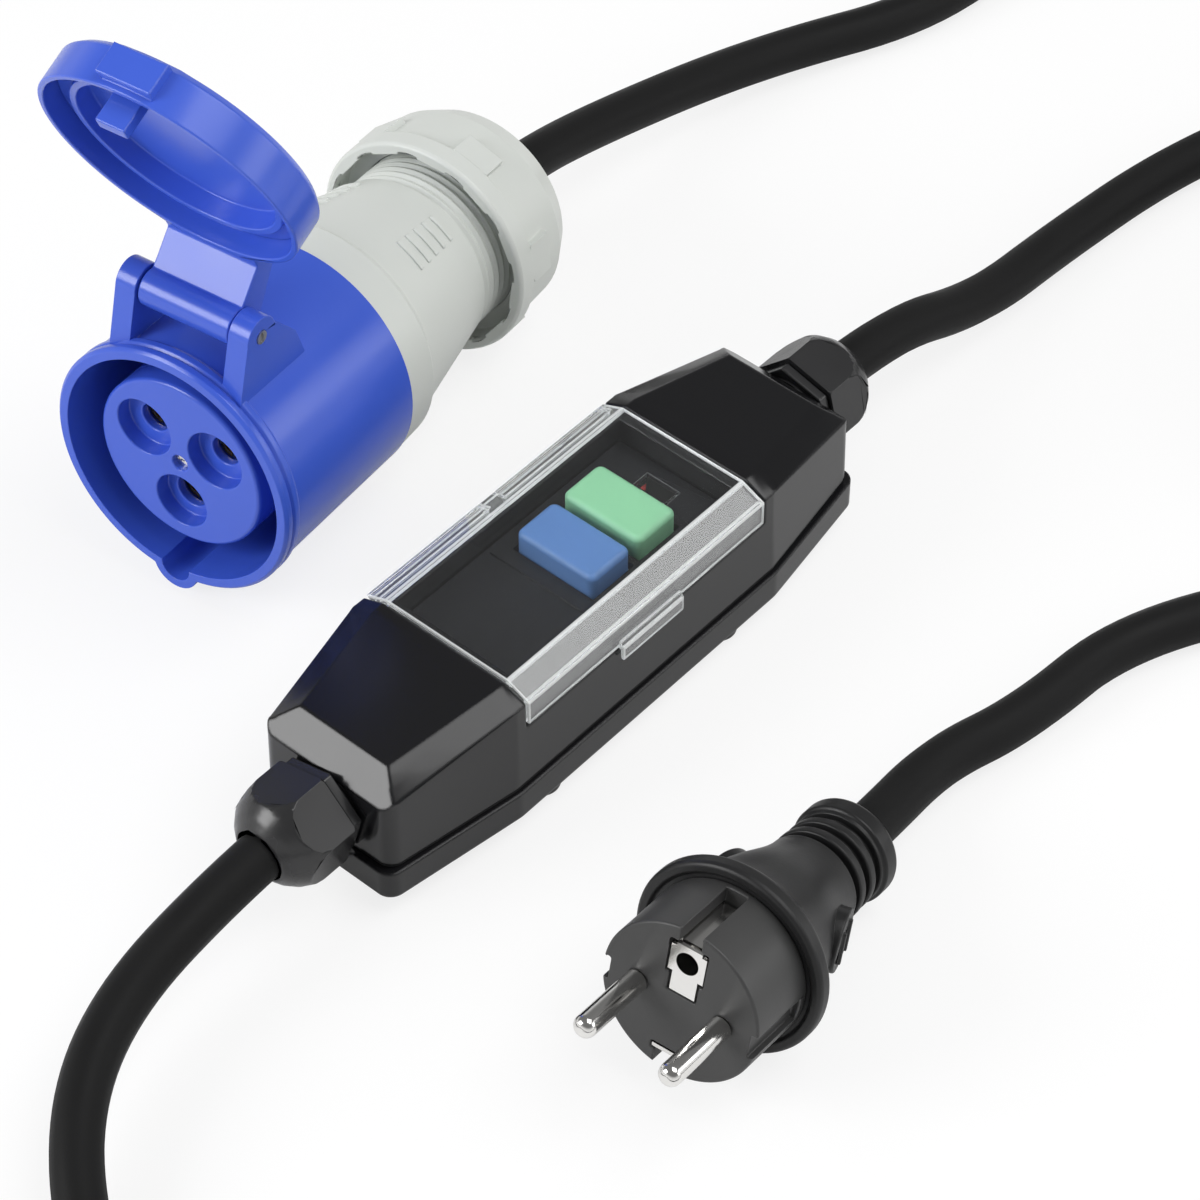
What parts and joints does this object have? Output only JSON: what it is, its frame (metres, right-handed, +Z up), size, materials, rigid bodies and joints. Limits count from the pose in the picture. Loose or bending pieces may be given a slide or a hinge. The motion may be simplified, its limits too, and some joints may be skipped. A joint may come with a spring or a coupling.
{
  "type": "residual current device adapter cable",
  "caption": "Inline residual current device in a black box with a clear hinged cover, on a cord from a two-pin earthed plug to a blue lidded industrial socket.",
  "frame": {"origin": "under the middle of the box, on the surface that it lies on", "axes": "+X along the box from the plug's cord to the socket's cord, +Y towards the socket, +Z up"},
  "size_m": [0.5013, 0.3356, 0.1425],
  "materials": {
    "black_gloss": "gloss",
    "black_panel": "satin",
    "clear_plastic": "clear",
    "blue_plastic": "gloss",
    "grey_plastic": "satin",
    "test_blue": "satin",
    "reset_green": "satin",
    "black_rubber": "matte",
    "seal_rubber": "matte",
    "nickel": "polished",
    "brass": "satin",
    "steel": "satin",
    "board_green": "satin",
    "inner_plastic": "satin",
    "wire_insulation": "satin",
    "earth_insulation": "satin",
    "flag_red": "satin"
  },
  "bodies": {
    "housing": {"base_shell": "black_gloss", "top_shell": "black_gloss", "near_gland_body": "black_gloss", "far_gland_body": "black_gloss", "near_gland_nut": "black_gloss", "far_gland_nut": "black_gloss", "shell_gasket": "seal_rubber", "near_gland_seal": "seal_rubber", "far_gland_seal": "seal_rubber", "case_screws": "steel", "cover_rod": "steel", "test_spring": "steel", "reset_spring": "steel", "lid_pin": "steel", "insert_screw": "steel", "terminal_screws": "steel", "face_panel": "black_panel", "plug_core": "black_panel", "indicator_lens": "clear_plastic", "button_guide": "inner_plastic", "contact_base": "inner_plastic", "sensing_ring": "inner_plastic", "inlet_terminals": "inner_plastic", "outlet_terminals": "inner_plastic", "cord_clamp": "inner_plastic", "trip_coil": "inner_plastic", "circuit_board": "board_green", "fixed_contacts": "brass", "test_contact": "brass", "live_sleeve": "brass", "neutral_sleeve": "brass", "earth_sleeve": "brass", "lead_wires": "wire_insulation", "power_wires": "wire_insulation", "socket_wires": "wire_insulation", "earth_wire": "earth_insulation", "socket_shroud": "blue_plastic", "socket_insert": "blue_plastic", "contact_block": "blue_plastic", "connector_body": "grey_plastic", "connector_nut": "grey_plastic", "plug_grip": "black_rubber", "plug_cord": "black_rubber", "socket_cord_near_box": "black_rubber", "socket_cord_coil": "black_rubber", "socket_cord_near_socket": "black_rubber", "left_pin": "nickel", "right_pin": "nickel", "earth_socket": "nickel", "earth_clips": "nickel"},
    "cover": {"clear_cover": "clear_plastic"},
    "test_press": {"test_button": "test_blue"},
    "reset_press": {"reset_button": "reset_green"},
    "contact_lift": {"contact_carrier": "inner_plastic", "moving_contacts": "brass"},
    "flag": {"indicator_flag": "flag_red"},
    "plunger": {"trip_plunger": "steel"},
    "lid": {"socket_lid": "blue_plastic", "lid_seal": "seal_rubber"}
  },
  "joints": [
    {"name": "cover_hinge", "type": "hinge", "parent": "housing", "child": "cover", "pos_m": [0, 0.02, 0.0332], "axis": [-1, 0, 0], "range_deg": [0, 105]},
    {"name": "test_slide", "type": "slide", "parent": "housing", "child": "test_press", "axis": [0, 0, -1], "range_m": [0, 0.002], "stiffness_N_per_m": 150, "springref_m": -0.002, "deforming": ["test_spring"]},
    {"name": "reset_slide", "type": "slide", "parent": "housing", "child": "reset_press", "axis": [0, 0, -1], "range_m": [0, 0.002], "stiffness_N_per_m": 150, "springref_m": -0.002, "deforming": ["reset_spring"]},
    {"name": "contact_slide", "type": "slide", "parent": "housing", "child": "contact_lift", "axis": [0, 0, -1], "range_m": [0, 0.002]},
    {"name": "flag_turn", "type": "hinge", "parent": "housing", "child": "flag", "pos_m": [0.0278, 0, 0.0215], "axis": [0, 1, 0], "range_deg": [0, 35]},
    {"name": "plunger_slide", "type": "slide", "parent": "housing", "child": "plunger", "axis": [-1, 0, 0], "range_m": [0, 0.0015], "stiffness_N_per_m": 60, "springref_m": -0.002},
    {"name": "lid_hinge", "type": "hinge", "parent": "housing", "child": "lid", "pos_m": [-0.0242, 0.07829, 0.07162], "axis": [0.1371, -0.9906, 0], "range_deg": [0, 154]}
  ],
  "couplings": [
    {"joint": "contact_slide", "follows": "reset_slide", "ratio": 1},
    {"joint": "flag_turn", "follows": "reset_slide", "rad_per_m": 305}
  ]
}
